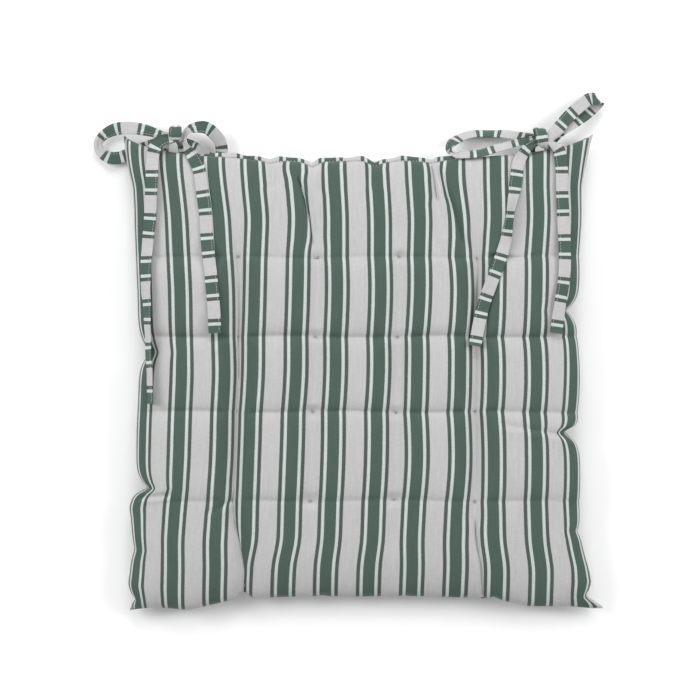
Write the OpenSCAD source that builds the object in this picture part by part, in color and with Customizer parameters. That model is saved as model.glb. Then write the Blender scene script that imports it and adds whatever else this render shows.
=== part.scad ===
// Tufted chair seat pad: a soft knife-edge cushion of two cloth panels round a fibre filling,
// held flat by tufting threads, with a pair of cloth ties tied in a bow at each back corner.
// It lies on its underside. +Z is up, +Y points to the chair's back, and the origin is under its middle.

/* [Pad] */
// Width of the pad from corner to corner
pad_w = 410; // [360:10:480]
// Depth of the pad from corner to corner
pad_d = 410; // [360:10:480]
// How far each edge pulls in between its corners
edge_pull = 14; // [0:1:24]
// Height of the filled pad between its tufts
crown_h = 42; // [32:1:60]
// Height of the edge seam above the seat
seam_h = 18; // [12:1:24]
// Thickness of the cover cloth
cloth_t = 0.8; // [0.6:0.1:1.2]
// Free height between the two covers along the edge seam
seam_gap = 1.6; // [1.4:0.1:2.4]

/* [Tufts] */
// Number of tufts in each row and in each column
tuft_n = 4; // [2:1:4]
// Distance between neighbouring tufts
tuft_pitch = 70; // [60:5:75]
// Height of the top cover where a tuft pulls it down
tuft_top_h = 34; // [20:1:38]
// Height of the underside where a tuft pulls it up
tuft_low_h = 7; // [2:1:10]
// Reach of the hollow round each tuft in the top cover
tuft_reach = 16; // [10:1:20]
// Reach of the hollow round each tuft in the underside
low_reach = 10; // [6:1:10]
// Diameter of the tufting thread
thread_d = 1.2; // [0.8:0.1:1.4]
// Diameter of the knot at each end of a tufting thread
knot_d = 3.2; // [2.4:0.2:4]

/* [Seams] */
// Thickness of the line of sewing thread in the edge seam
stitch_t = 0.8; // [0.4:0.1:1]
// Distance of the sewing line from the edge
stitch_inset = 1.2; // [1:0.1:3]
// Length of the opening that is sewn shut after filling
closing_l = 150; // [80:10:200]

/* [Ties] */
// Width of a tie
tie_w = 11; // [8:0.5:14]
// Thickness of a tie, folded from cloth
tie_t = 1; // [0.8:0.1:1.2]
// Distance of the outer ties from the middle of the pad
tie_outer_x = 169; // [165:1:172]
// Distance of the inner ties from the middle of the pad
tie_inner_x = 150; // [146:1:152]

/* [Hidden] */
tuft_rows = [1 : tuft_n];
function tuft_name(row, column) = str("tuft_thread_", row, "_", column);

eps = 0.01;
fit_gap = 0.3;        // free space between the filling and the covers
thread_hole = 1.6;    // side of the square hole that a tufting thread passes through
corner_power = 4;     // how late along an edge its pull gives way to the corner
edge_power = 6;       // how late the crown falls away to the seam
flat_share = 1.25;    // how fast the underside comes down to the seat
hollow_end = 0.08;    // share of its depth at which an underside hollow gives way to the flat
round_faces = 24;
tie_steps = 2;        // rings of a tie between two of its route points
half_w = pad_w / 2;
half_d = pad_d / 2;
rim_top = seam_h + seam_gap / 2 + cloth_t;
rim_low = seam_h - seam_gap / 2 - cloth_t;

// Place of the tufts and the lines of the surface grid, along one direction
function tuft_at(i) = (i - (tuft_n + 1) / 2) * tuft_pitch;
hollow_lines = [-0.75 * tuft_reach, -thread_hole / 2, thread_hole / 2, 0.75 * tuft_reach];
edge_shares = [0.3, 0.58, 0.8, 0.94];
function edge_lines(half) = let (last = tuft_at(tuft_n) + hollow_lines[3])
    [for (share = edge_shares) last + share * (half - last)];
function side_lines(half, with_rim) = concat(edge_lines(half), with_rim ? [half] : []);
function inner_lines() = [for (i = tuft_rows) each concat(
    [for (line = hollow_lines) tuft_at(i) + line],
    i < tuft_n ? [tuft_at(i) + tuft_pitch / 2] : [])];
function reversed(list) = [for (i = [len(list) - 1 : -1 : 0]) list[i]];
function grid_lines(half, with_rim) = concat(
    -reversed(side_lines(half, with_rim)), inner_lines(), side_lines(half, with_rim));

// The flat panel's point (s, t), drawn in where the edges pull in between the corners
function pulled(s, t, half_s, half_t) =
    s - edge_pull * (1 - pow(abs(t) / half_t, corner_power)) * pow(s / half_s, 3);
function in_plan(s, t) = [pulled(s, t, half_w, half_d), pulled(t, s, half_d, half_w)];

// Heights of the pad's outside at the panel's point (s, t)
function falling(share) = sqrt(max(0, 1 - pow(abs(share), edge_power)));
function crown(s, t) = falling(s / half_w) * falling(t / half_d);
function hollow(s, t, reach) = max([for (row = tuft_rows) for (column = tuft_rows)
    exp(-(pow(s - tuft_at(column), 2) + pow(t - tuft_at(row), 2)) / pow(reach, 2))]);
function top_z(s, t) = rim_top + (crown_h - rim_top) * crown(s, t)
    - (crown_h - tuft_top_h) * hollow(s, t, tuft_reach);
function low_z(s, t) = rim_low * max(0, 1 - flat_share * crown(s, t))
    + tuft_low_h * max(0, hollow(s, t, low_reach) - hollow_end) / (1 - hollow_end);

// A closed body between two heights over the grid, open where the threads pass through
module grid_body(lines_s, lines_t, upper, lower) {
    n = len(lines_s);
    m = len(lines_t);
    last = n * m;
    points = [for (level = [upper, lower]) for (s = lines_s) for (t = lines_t)
        concat(in_plan(s, t), level(s, t))];
    at = function (i, j) i * m + j;
    narrow = function (lines, i) abs(lines[i + 1] - lines[i] - thread_hole) < eps;
    holes = [for (i = [0 : n - 2]) for (j = [0 : m - 2])
        if (narrow(lines_s, i) && narrow(lines_t, j)) [i, j]];
    cells = [for (i = [0 : n - 2]) for (j = [0 : m - 2])
        if (!(narrow(lines_s, i) && narrow(lines_t, j))) [i, j]];
    wall = function (a, b) [[a, b, b + last], [a, b + last, a + last]];
    polyhedron(points, concat(
        [for (c = cells) each [
            [at(c[0], c[1]), at(c[0], c[1] + 1), at(c[0] + 1, c[1] + 1)],
            [at(c[0], c[1]), at(c[0] + 1, c[1] + 1), at(c[0] + 1, c[1])],
            [at(c[0], c[1]) + last, at(c[0] + 1, c[1] + 1) + last, at(c[0], c[1] + 1) + last],
            [at(c[0], c[1]) + last, at(c[0] + 1, c[1]) + last, at(c[0] + 1, c[1] + 1) + last]]],
        [for (h = holes) each concat(
            wall(at(h[0], h[1]), at(h[0], h[1] + 1)),
            wall(at(h[0], h[1] + 1), at(h[0] + 1, h[1] + 1)),
            wall(at(h[0] + 1, h[1] + 1), at(h[0] + 1, h[1])),
            wall(at(h[0] + 1, h[1]), at(h[0], h[1])))],
        [for (i = [0 : n - 2]) each concat(
            wall(at(i, 0), at(i + 1, 0)),
            wall(at(i + 1, m - 1), at(i, m - 1)))],
        [for (j = [0 : m - 2]) each concat(
            wall(at(0, j + 1), at(0, j)),
            wall(at(n - 1, j), at(n - 1, j + 1)))]
    ));
}

// The loose fibre inside
module filling() {
    color("whitesmoke") grid_body(
        grid_lines(half_w, false), grid_lines(half_d, false),
        function (s, t) top_z(s, t) - cloth_t - fit_gap,
        function (s, t) low_z(s, t) + cloth_t + fit_gap);
}

// The upper cloth panel, a thin shell over the filling
module top_cover() {
    color([0.78, 0.77, 0.78]) grid_body(
        grid_lines(half_w, true), grid_lines(half_d, true),
        function (s, t) top_z(s, t),
        function (s, t) top_z(s, t) - cloth_t);
}

// The lower cloth panel, which lies on the seat
module bottom_cover() {
    color([0.72, 0.71, 0.72]) grid_body(
        grid_lines(half_w, true), grid_lines(half_d, true),
        function (s, t) low_z(s, t) + cloth_t,
        function (s, t) low_z(s, t));
}

// The pad's outline in plan, drawn in by an inset
side_steps = 24;
function side_share(i) = -1 + 2 * i / side_steps;
module outline(inset) {
    w = half_w - inset;
    d = half_d - inset;
    steps = [0 : side_steps - 1];
    polygon(concat(
        [for (i = steps) in_plan(w * side_share(i), -d)],
        [for (i = steps) in_plan(w, d * side_share(i))],
        [for (i = steps) in_plan(-w * side_share(i), d)],
        [for (i = steps) in_plan(-w, -d * side_share(i))]));
}

// A window across the back edge, centred on x, in plan
window_d = 30;
module back_window(x, width) {
    translate([x - width / 2, half_d - window_d])
        square([width, window_d + 1]);
}
tie_pair_x = (tie_outer_x + tie_inner_x) / 2;
tie_pair_w = tie_outer_x - tie_inner_x + tie_w + 4;

module sewing_line() {
    difference() {
        outline(stitch_inset);
        outline(stitch_inset + stitch_t);
    }
}

// The machine-sewn line that joins the covers, all round but for the opening and the ties
module edge_seam() {
    color([0.35, 0.42, 0.38]) translate([0, 0, seam_h - stitch_t / 2])
        linear_extrude(stitch_t) difference() {
            sewing_line();
            back_window(0, closing_l + 1);
            for (side = [-1, 1])
                back_window(side * tie_pair_x, tie_pair_w);
        }
}

// The line that shuts the opening in the back edge after filling
module closing_seam() {
    color([0.85, 0.85, 0.83]) translate([0, 0, seam_h - stitch_t / 2])
        linear_extrude(stitch_t) intersection() {
            sewing_line();
            back_window(0, closing_l);
        }
}

// Rows of stitches that hold a pair of ties where they leave the seam
tack_rows = [1.4, 3.2];
tack_d = 0.6;
module tie_tack(side) {
    color([0.85, 0.85, 0.83])
        for (x = [tie_inner_x, tie_outer_x])
            for (row = tack_rows)
                translate([side * x - tie_w * 0.4,
                        in_plan(tie_pair_x, half_d)[1] + row,
                        seam_h + tie_t / 2 + tack_d / 2 + 0.05])
                    rotate([0, 90, 0])
                        cylinder(d = tack_d, h = tie_w * 0.8, $fn = round_faces);
}
module tie_tack_left() { tie_tack(-1); }
module tie_tack_right() { tie_tack(1); }

// One tufting thread with a knot at each end
module tuft_thread(row, column) {
    place = in_plan(tuft_at(column), tuft_at(row));
    top = top_z(tuft_at(column), tuft_at(row)) + knot_d * 0.45;
    low = low_z(tuft_at(column), tuft_at(row)) - knot_d * 0.45;
    color([0.3, 0.36, 0.33]) translate([place[0], place[1], 0]) {
        translate([0, 0, low])
            cylinder(d = thread_d, h = top - low, $fn = round_faces);
        translate([0, 0, top])
            sphere(d = knot_d, $fn = round_faces);
        translate([0, 0, low])
            sphere(d = knot_d, $fn = round_faces);
    }
}

// Routes of the ties. Each row is a point [x, y, z], then the direction of the tie's width there,
// as a compass angle in plan and an angle above the seat, then the width as a share of tie_w.
// The four run from the seam to the knot, round a loop, back to the knot and out along a tail.
route_left_outer = [
    [-169, 189, 18, 180, 0, 1], [-169, 198, 18, 180, 0, 1], [-166, 205, 20, 150, 0, 0.8],
    [-160, 208, 22, 105, 0, 0.6], [-154, 209, 21.5, 90, 0, 0.6], [-152, 209, 19, 90, 0, 0.6],
    [-154, 209, 16.5, 90, 0, 0.6], [-160, 208, 15.5, 90, 0, 0.7], [-169, 206, 12, 100, -10, 0.9],
    [-181, 202, 8, 103, -12, 1], [-195, 197, 6, 105, -12, 1], [-206, 192.5, 5, 100, -12, 1],
    [-215, 191.5, 5, 78, -12, 1], [-223, 196, 6, 45, -15, 0.8], [-226, 204, 7, -5, -15, 0.7],
    [-221, 211, 9, -45, -10, 0.8], [-211, 216, 13, -72, -5, 1], [-198, 217, 17, -90, 0, 1],
    [-184, 215, 20, -92, 10, 0.9], [-171, 211, 23, -90, 20, 0.7], [-161, 209, 25, -90, 12, 0.6],
    [-154, 209, 25.5, -90, 0, 0.6], [-152, 209, 27, -90, 0, 0.6], [-154, 208, 28.5, -90, 0, 0.6],
    [-161, 207, 29, -85, 0, 0.7], [-169, 205, 29, -70, 0, 0.9], [-174, 200, 31, -45, 0, 1],
    [-176.5, 191, 33, -15, 5, 1], [-177, 174, 37, 0, 10, 1], [-178.5, 140, 39, 0, 16, 1],
    [-181, 110, 38.5, 0, 26, 1], [-182, 82, 39.5, 0, 38, 1], [-181, 60, 40, 0, 50, 1],
    [-180, 40, 40.5, 0, 60, 1], [-179, 10, 40.5, 0, 62, 1], [-178, -23, 40, 0, 62, 1]];
route_left_inner = [
    [-150, 189, 18, 180, 0, 1], [-150, 198, 17.5, 180, 0, 1], [-153, 205, 13.5, 170, 0, 0.8],
    [-157, 212, 13, 180, 0, 0.8], [-157, 217, 17, 180, 0, 0.85], [-157, 218, 23, 180, 0, 0.85],
    [-157, 217, 28, 180, 0, 0.9], [-157, 214, 31, 180, 0, 1], [-157, 210, 32, 180, 0, 1],
    [-157, 206, 30, 180, 0, 0.9], [-156, 205, 26.5, 180, 0, 0.6], [-153, 205, 23.5, 140, 0, 0.5],
    [-148, 204, 21.5, 90, 0, 0.6], [-141, 200, 17, 65, -15, 0.9], [-135, 195.5, 12, 62, -15, 1],
    [-129, 191.5, 7, 75, -15, 1], [-122, 190.5, 6, 110, -10, 1], [-118, 196, 7, 160, -10, 1],
    [-119, 205, 9, 200, -10, 1], [-124, 212, 12, 228, -5, 1], [-131, 217, 16, 252, 5, 1],
    [-139, 217, 20, 272, 15, 0.9], [-146, 214, 24, 290, 30, 0.7], [-149, 208, 27, 320, 45, 0.5],
    [-148, 202, 28, 345, 40, 0.5], [-145, 196, 29, 370, 20, 0.8], [-140, 188, 32.5, 380, 0, 1],
    [-136, 178, 36, 375, 0, 1], [-134, 165, 39, 370, 0, 1], [-131, 145, 41, 368, 0, 1],
    [-129, 117, 41, 365, 0, 1], [-125, 82, 43, 365, 0, 1], [-123, 58, 43.5, 365, 0, 1],
    [-122, 38, 43, 360, 0, 1]];
route_right_inner = [
    [150, 189, 18, 180, 0, 1], [150, 198, 18, 180, 0, 1], [153, 204, 20, 150, 0, 0.8],
    [159, 206, 22, 105, 0, 0.6], [164, 207, 21.5, 90, 0, 0.6], [166, 207, 19, 90, 0, 0.6],
    [164, 207, 16.5, 90, 0, 0.6], [158, 207, 15.5, 90, 0, 0.7], [147, 209, 14, 100, -25, 0.9],
    [135, 212, 10.5, 115, -45, 1], [121, 213, 7, 120, -50, 1], [106, 213, 6, 120, -50, 1],
    [93, 210, 8, 120, -50, 1], [84, 205, 13, 120, -50, 1], [82, 198, 18, 120, -50, 1],
    [87, 193, 22, 120, -50, 1], [97, 193, 24, 120, -50, 1], [110, 195, 25, 120, -50, 1],
    [124, 199, 25, 115, -50, 1], [137, 202, 25.5, 105, -45, 0.8], [149, 205, 25.5, 95, -20, 0.6],
    [158, 207, 25, 90, 0, 0.5], [164, 207, 25.5, 90, 0, 0.5], [166, 207, 27, 90, 0, 0.5],
    [164, 206, 28.5, 90, 0, 0.5], [157, 204, 29, 105, 0, 0.6], [150, 200, 29, 125, 0, 0.7],
    [144, 193, 31, 140, 0, 0.9], [140, 184, 34, 155, 0, 1], [138, 170, 38, 170, 0, 1],
    [135, 154, 41, 175, -40, 1], [132, 138, 42.5, 180, -55, 1], [129, 120, 42, 185, -30, 1],
    [123, 99, 40, 190, 0, 1], [115, 78, 42, 195, 0, 1], [108, 57, 43, 190, 0, 1],
    [102, 27, 43, 185, 0, 1]];
route_right_outer = [
    [169, 189, 18, 180, 0, 1], [169, 198, 17.5, 180, 0, 1], [165, 204, 13.5, 170, 0, 0.8],
    [161, 210, 13, 175, 0, 0.85], [159, 215, 17, 175, 0, 0.95], [159, 216, 23, 175, 0, 0.95],
    [159, 214, 29, 175, 0, 0.95], [160, 210, 31.5, 175, 0, 0.95], [161, 204, 32, 175, 0, 0.95],
    [162, 200, 29.5, 175, 0, 0.8], [163, 199, 26, 170, 0, 0.6], [165, 200, 23.5, 150, 0, 0.6],
    [169, 205, 22, 130, 0, 0.8], [176, 212.5, 19, 130, -10, 0.9], [188, 221, 14, 130, -20, 1],
    [198, 227.5, 9, 130, -20, 1], [205, 233.5, 5.5, 132, -12, 1], [210, 238.5, 4.5, 136, -5, 1],
    [212, 241.5, 7, 140, 0, 1], [209.5, 243, 9.5, 138, 0, 1], [204, 243, 10.5, 134, 0, 1],
    [198, 239, 11.5, 130, 0, 1], [191, 233, 14, 130, 0, 1], [183, 225, 18, 130, 0, 1],
    [175, 215.5, 22.5, 130, 0, 1], [170, 210, 26.5, 132, 10, 0.9], [168, 205, 29, 155, 20, 0.6],
    [171, 201.5, 30, 175, 10, 0.7], [175.5, 196, 31, 180, 0, 1], [177.5, 183, 33.5, 180, 8, 1],
    [178, 160, 37, 180, 10, 1], [179, 135, 38.5, 180, 12, 1], [180, 105, 39, 180, 12, 1],
    [179, 82, 39, 180, 20, 1], [176, 65, 40, 180, 20, 1], [172, 38, 41, 180, 8, 1]];

// A smooth curve through the points of a list, in each of its columns
function eased(a, b, c, d, u) = 0.5 * (2 * b + (c - a) * u
    + (2 * a - 5 * b + 4 * c - d) * u * u + (3 * b - a - 3 * c + d) * u * u * u);
function smooth(list) = let (last = len(list) - 1) concat(
    [for (i = [0 : last - 1]) for (k = [0 : tie_steps - 1])
        eased(list[max(i - 1, 0)], list[i], list[i + 1], list[min(i + 2, last)], k / tie_steps)],
    [list[last]]);
function unit(v) = v / norm(v);
function place_of(row) = [row[0], row[1], row[2]];
function width_way(row) = [cos(row[3]) * cos(row[4]), sin(row[3]) * cos(row[4]), sin(row[4])];

// The four corners of a tie's section, square to its route
function section(row, along) = let (
        w = unit(width_way(row) - (width_way(row) * along) * along),
        n = cross(along, w),
        a = w * row[5] * tie_w / 2,
        b = n * tie_t / 2)
    [for (corner = [a + b, b - a, -a - b, a - b]) place_of(row) + corner];

// A flat tie swept along its route
module tie(route) {
    rows = smooth(route);
    last = len(rows) - 1;
    rings = [for (i = [0 : last]) section(rows[i],
        unit(place_of(rows[min(i + 1, last)]) - place_of(rows[max(i - 1, 0)])))];
    color([0.62, 0.67, 0.64]) polyhedron(
        [for (ring = rings) each ring],
        concat(
            [[0, 1, 2], [0, 2, 3]],
            [for (i = [0 : last - 1]) for (k = [0 : 3]) each let (
                    a = 4 * i + k,
                    b = 4 * i + (k + 1) % 4)
                [[a, a + 4, b + 4], [a, b + 4, b]]],
            [[4 * last, 4 * last + 2, 4 * last + 1], [4 * last, 4 * last + 3, 4 * last + 2]]));
}
module tie_left_outer() { tie(route_left_outer); }
module tie_left_inner() { tie(route_left_inner); }
module tie_right_inner() { tie(route_right_inner); }
module tie_right_outer() { tie(route_right_outer); }

filling();
top_cover();
bottom_cover();
edge_seam();
closing_seam();
tie_left_outer();
tie_left_inner();
tie_right_inner();
tie_right_outer();
tie_tack_left();
tie_tack_right();
for (row = tuft_rows)
    for (column = tuft_rows)
        tuft_thread(row, column);
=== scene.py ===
import math

import bpy
import numpy as np
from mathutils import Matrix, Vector


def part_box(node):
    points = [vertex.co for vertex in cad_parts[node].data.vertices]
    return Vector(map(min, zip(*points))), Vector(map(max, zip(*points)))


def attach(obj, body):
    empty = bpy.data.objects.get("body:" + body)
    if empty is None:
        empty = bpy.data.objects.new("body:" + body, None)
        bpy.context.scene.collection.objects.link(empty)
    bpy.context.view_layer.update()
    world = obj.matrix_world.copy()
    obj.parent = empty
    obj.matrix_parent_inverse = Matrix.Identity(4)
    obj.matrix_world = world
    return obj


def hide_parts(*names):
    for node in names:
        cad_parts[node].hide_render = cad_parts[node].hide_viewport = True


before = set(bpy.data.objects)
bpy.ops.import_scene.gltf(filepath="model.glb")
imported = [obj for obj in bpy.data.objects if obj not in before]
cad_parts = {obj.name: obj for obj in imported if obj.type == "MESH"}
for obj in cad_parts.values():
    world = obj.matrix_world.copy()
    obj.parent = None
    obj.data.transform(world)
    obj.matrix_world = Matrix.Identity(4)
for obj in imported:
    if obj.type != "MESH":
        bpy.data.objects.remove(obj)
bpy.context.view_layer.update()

# Sizes, in metres
CLOTH_T = 0.0008
STRIPE_PERIOD = 0.0374
STEPS_PER_PERIOD = 9
GRID_STEPS = 53
STEP = STRIPE_PERIOD / STEPS_PER_PERIOD
CLOTH_HALF = GRID_STEPS * STEP
GRID_N = 2 * GRID_STEPS + 1
SEAM_H = 0.018
CROWN_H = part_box("top_cover")[1][2]
PAD_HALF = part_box("top_cover")[1][0]
EDGE_PULL = 0.014
TUFT_LINES = np.array([-3, -1, 1, 3]) * STRIPE_PERIOD
TUFT_INDEX = [GRID_STEPS + k * STEPS_PER_PERIOD for k in (-3, -1, 1, 3)]
TUFT_TOP_H = 0.034
TUFT_LOW_H = 0.007


# ---- camera, light and floor

def make_camera():
    data = bpy.data.cameras.new("camera")
    data.lens = 135
    data.sensor_width = 36
    camera = bpy.data.objects.new("camera", data)
    bpy.context.collection.objects.link(camera)
    view_width = 0.609
    view_height = 0.02
    distance = view_width * data.lens / data.sensor_width
    camera.location = (-0.0057, 0.0235, view_height + distance)
    camera.rotation_euler = (0, 0, 0)
    bpy.context.scene.camera = camera


WORLD_STRENGTH = 0.44
# Name, place, size and power of each soft box. All of them look at the middle of the pad.
SOFT_BOXES = [
    ("soft box left", (-1.5, 0.5, 1.2), 0.9, 21),
    ("soft box right", (1.5, 0.5, 1.2), 0.9, 20),
    ("soft box back", (0.0, 1.9, 1.5), 1.2, 21),
    ("soft box front", (0.0, -2.0, 1.2), 1.2, 4),
]


def make_light(name, place, size, power):
    data = bpy.data.lights.new(name, "AREA")
    data.shape = "SQUARE"
    data.size = size
    data.energy = power
    light = bpy.data.objects.new(name, data)
    bpy.context.collection.objects.link(light)
    light.location = place
    light.rotation_mode = "QUATERNION"
    light.rotation_quaternion = (-Vector(place)).to_track_quat("-Z", "Y")


def make_world(strength):
    world = bpy.data.worlds.new("studio")
    world.use_nodes = True
    background = world.node_tree.nodes["Background"]
    background.inputs["Color"].default_value = (1.0, 1.0, 1.0, 1.0)
    background.inputs["Strength"].default_value = strength
    bpy.context.scene.world = world


# ---- mesh helpers

def new_object(name, points, faces, smooth=True):
    mesh = bpy.data.meshes.new(name)
    mesh.from_pydata([tuple(p) for p in points], [], faces)
    mesh.update()
    if smooth:
        mesh.polygons.foreach_set("use_smooth", [True] * len(mesh.polygons))
    obj = bpy.data.objects.new(name, mesh)
    bpy.context.collection.objects.link(obj)
    return obj


def add_cloth_map(obj, coords):
    """Writes the flat cloth's coordinates, one pair for each vertex, as the UV map named cloth."""
    mesh = obj.data
    layer = mesh.uv_layers.new(name="cloth")
    loops = np.zeros(len(mesh.loops), np.int32)
    mesh.loops.foreach_get("vertex_index", loops)
    layer.data.foreach_set("uv", np.asarray(coords, np.float32)[loops].ravel())


def grid_faces(rows, columns, start=0, flip=False):
    faces = []
    for i in range(rows - 1):
        for j in range(columns - 1):
            a = start + i * columns + j
            quad = (a, a + columns, a + columns + 1, a + 1)
            faces.append(quad[::-1] if flip else quad)
    return faces


# ---- the pad's shape before it is filled

# How much cloth each lengthwise valley hides, at stops along the pad from front to back
V_STOPS = np.array([-0.212, -0.180, -0.155, -0.080, 0.0, 0.083, 0.152, 0.190, 0.212])
HIDDEN = {
    -0.1122: [0.0155, 0.0155, 0.0105, 0.0144, 0.0135, 0.0104, 0.0045, 0.0035, 0.0030],
    -0.0374: [0.0005, 0.0010, 0.0026, 0.0022, 0.0035, 0.0035, 0.0060, 0.0045, 0.0040],
    0.0374: [0.0000, 0.0000, 0.0036, 0.0022, 0.0050, 0.0039, 0.0024, 0.0030, 0.0030],
    0.0740: [0.0000, 0.0000, 0.0000, 0.0000, 0.0000, 0.0005, 0.0036, 0.0060, 0.0060],
    0.1122: [0.0005, 0.0010, 0.0039, 0.0091, 0.0091, 0.0109, 0.0052, 0.0012, 0.0005],
}
# How far the leftmost valley swings inwards, at stops from the front to the first row of tufts
SWING_STOPS = [-0.190, -0.165, -0.137, TUFT_LINES[0]]
SWING = [0.0150, 0.0105, 0.0030, 0.0]
# How far the cloth's middle line lies to the right of the pad's, at the same stops as HIDDEN
CENTRE_DRIFT = [-0.0085, -0.0078, -0.0048, -0.0028, -0.0004, 0.0012, 0.0013, -0.0004, -0.0010]
# The rows of tufts: where they lie, the cloth each hides, and how deep the dip along each is
ROW_PLACES = [-0.1085, -0.0300, 0.0350, 0.1055]
ROW_HIDDEN = 0.0040
ROW_REACH = 0.030
ROW_DIPS = [0.0034, 0.0036, 0.0046, 0.0050]
VALLEY_HALF = 0.0055
# Between two rows the stripes lie a little further right, and further from the middle
ROW_SWAY = 0.0010
ROW_SPREAD = 0.0042
# The sides fall in over their last stretch of cloth. Part of the right side is blunter.
SIDE_FALL = 0.014
SIDE_POWER = 13.7
BLUNT_DRAW = 0.0032
BLUNT_POWER = 12
BLUNT_MIDDLE = -0.065
BLUNT_HALF = 0.085
BLUNT_FROM = 0.187
# Side, place along it, how far the seam is drawn in, its half widths towards the front (or left) and
# the back (or right), and how far the pull reaches into the cloth
NOTCHES = [
    ("left", 0.021, 0.0095, 0.009, 0.012, 0.030),
    ("left", -0.097, 0.0125, 0.0035, 0.010, 0.030),
    ("left", -0.113, -0.0030, 0.012, 0.010, 0.025),
    ("left", -0.150, 0.0040, 0.008, 0.016, 0.030),
    ("left", -0.180, -0.0028, 0.010, 0.014, 0.030),
    ("left", -0.1935, 0.0040, 0.003, 0.005, 0.012),
    ("left", 0.165, 0.0040, 0.030, 0.030, 0.040),
    ("right", 0.058, 0.0110, 0.009, 0.008, 0.028),
    ("right", -0.047, 0.0135, 0.009, 0.0045, 0.028),
    ("right", -0.134, 0.0035, 0.006, 0.006, 0.020),
    ("right", -0.178, -0.0026, 0.010, 0.012, 0.020),
    ("right", -0.1915, 0.0055, 0.003, 0.006, 0.012),
    ("right", 0.165, 0.0025, 0.030, 0.030, 0.040),
    ("right", -0.165, -0.0035, 0.035, 0.030, 0.040),
    ("front", -0.145, -0.0085, 0.036, 0.036, 0.040),
    ("front", -0.097, 0.0070, 0.010, 0.004, 0.025),
    ("front", 0.150, -0.0050, 0.025, 0.030, 0.040),
    ("front", 0.120, 0.0030, 0.005, 0.006, 0.020),
    ("front", 0.040, 0.0010, 0.004, 0.010, 0.012),
    ("front", -0.030, 0.0012, 0.008, 0.004, 0.012),
    ("back", -0.075, 0.0035, 0.009, 0.009, 0.018),
    ("back", -0.038, 0.0055, 0.008, 0.006, 0.018),
    ("back", 0.015, 0.0055, 0.006, 0.010, 0.018),
    ("back", 0.065, 0.0035, 0.022, 0.022, 0.018),
    ("back", -0.025, 0.0036, 0.095, 0.095, 0.014),
]
# How far each corner is shifted to the right and to the back, and how quickly that fades away from it
CORNER_SHIFT = {(-1, 1): (0.0090, 0.0060), (1, 1): (-0.0015, 0.0070),
                (-1, -1): (0.0140, 0.0020), (1, -1): (0.0010, 0.0020)}
CORNER_POWER = 9
# The front right corner ends in a small ear: how far it goes out, and how far its tip is drawn back
EAR_OUT = 0.0045
EAR_BACK = 0.0018


def bell(distance, width):
    """1 at no distance, falling smoothly to 0 over a few widths."""
    return np.exp(-(distance / width) ** 2)


def cusp(distance, before, after):
    """1 at no distance, falling on each side at its own rate, with a point at the top."""
    width = np.where(distance < 0, before, after)
    return np.exp(-np.abs(distance / width) ** 1.3)


def eased_table(v, values):
    """A table along the pad, read with its corners rounded."""
    dense = np.linspace(-0.24, 0.24, 241)
    line = np.interp(dense, V_STOPS, values)
    reach = 10
    kernel = np.exp(-np.linspace(-2, 2, 2 * reach + 1) ** 2)
    line = np.convolve(np.pad(line, reach, mode="edge"), kernel / kernel.sum(), mode="valid")
    return np.interp(v, dense, line)


def valley_place(line, v):
    """Where a lengthwise valley runs over the cloth: the leftmost one swings inwards near the front."""
    if line > TUFT_LINES[0] + 0.001:
        return line
    return line + np.interp(v, SWING_STOPS, SWING)


def between_rows(v):
    """0 along each row of tufts and outside them, 1 midway between two rows."""
    share = np.clip((v - TUFT_LINES[0]) / (TUFT_LINES[1] - TUFT_LINES[0]), 0, 3) % 1.0
    return 4 * share * (1 - share)


def cloth_plan(u, v):
    """Plan position of the flat cloth's points (u, v) once the tucks and notches have drawn it in."""
    x = eased_table(v, CENTRE_DRIFT) + u
    for line, amounts in HIDDEN.items():
        hidden = eased_table(v, amounts)
        x = x - 0.5 * hidden * (np.tanh((u - valley_place(line, v)) / VALLEY_HALF) + np.sign(line))
    x = x + (ROW_SWAY + ROW_SPREAD * u) * between_rows(v)
    a = u / CLOTH_HALF
    b = v / CLOTH_HALF
    open_corner = np.where(b > 0, np.abs(b) ** 6, np.abs(b) ** 12)
    blunt = (u > 0) / (1 + np.exp((np.abs(v - BLUNT_MIDDLE) - BLUNT_HALF) / 0.012))
    fall = (SIDE_FALL - BLUNT_DRAW * blunt) * (1 - 0.9 * open_corner)
    x = x - fall * np.sign(a) * np.abs(a) ** (SIDE_POWER + BLUNT_POWER * blunt)
    x = x - BLUNT_DRAW * blunt * 0.5 * (1 + np.tanh((u - BLUNT_FROM) / 0.008))
    row_stops = np.concatenate([[-CLOTH_HALF], TUFT_LINES, [CLOTH_HALF]])
    row_goals = np.concatenate([[-PAD_HALF], ROW_PLACES, [PAD_HALF]])
    y = np.interp(v, row_stops, row_goals)
    for line in TUFT_LINES:
        away = v - line
        gather = np.tanh(away / VALLEY_HALF) - np.tanh(away / ROW_REACH)
        y = y - 0.5 * ROW_HIDDEN * gather * np.abs(1 - b ** 4)
    y = y - EDGE_PULL * (1 - np.abs(a) ** 4) * np.sign(b) * np.abs(b) ** 3
    for side, along, inward, before, after, reach in NOTCHES:
        if side in ("left", "right"):
            sign = -1 if side == "left" else 1
            x = x - sign * inward * cusp(y - along, before, after) * bell(CLOTH_HALF - sign * u, reach)
        else:
            sign = -1 if side == "front" else 1
            y = y - sign * inward * cusp(x - along, before, after) * bell(CLOTH_HALF - sign * v, reach)
    for (sx, sy), (dx, dy) in CORNER_SHIFT.items():
        share = np.clip(sx * a, 0, 1) ** CORNER_POWER * np.clip(sy * b, 0, 1) ** CORNER_POWER
        x = x + dx * share
        y = y + dy * share
    ear = np.clip(a, 0, 1) ** 34
    x = x + EAR_OUT * ear * bell(v + CLOTH_HALF - 0.003, 0.005)
    y = y + EAR_BACK * ear * np.clip(-b, 0, 1) ** 60
    return x, y


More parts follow.
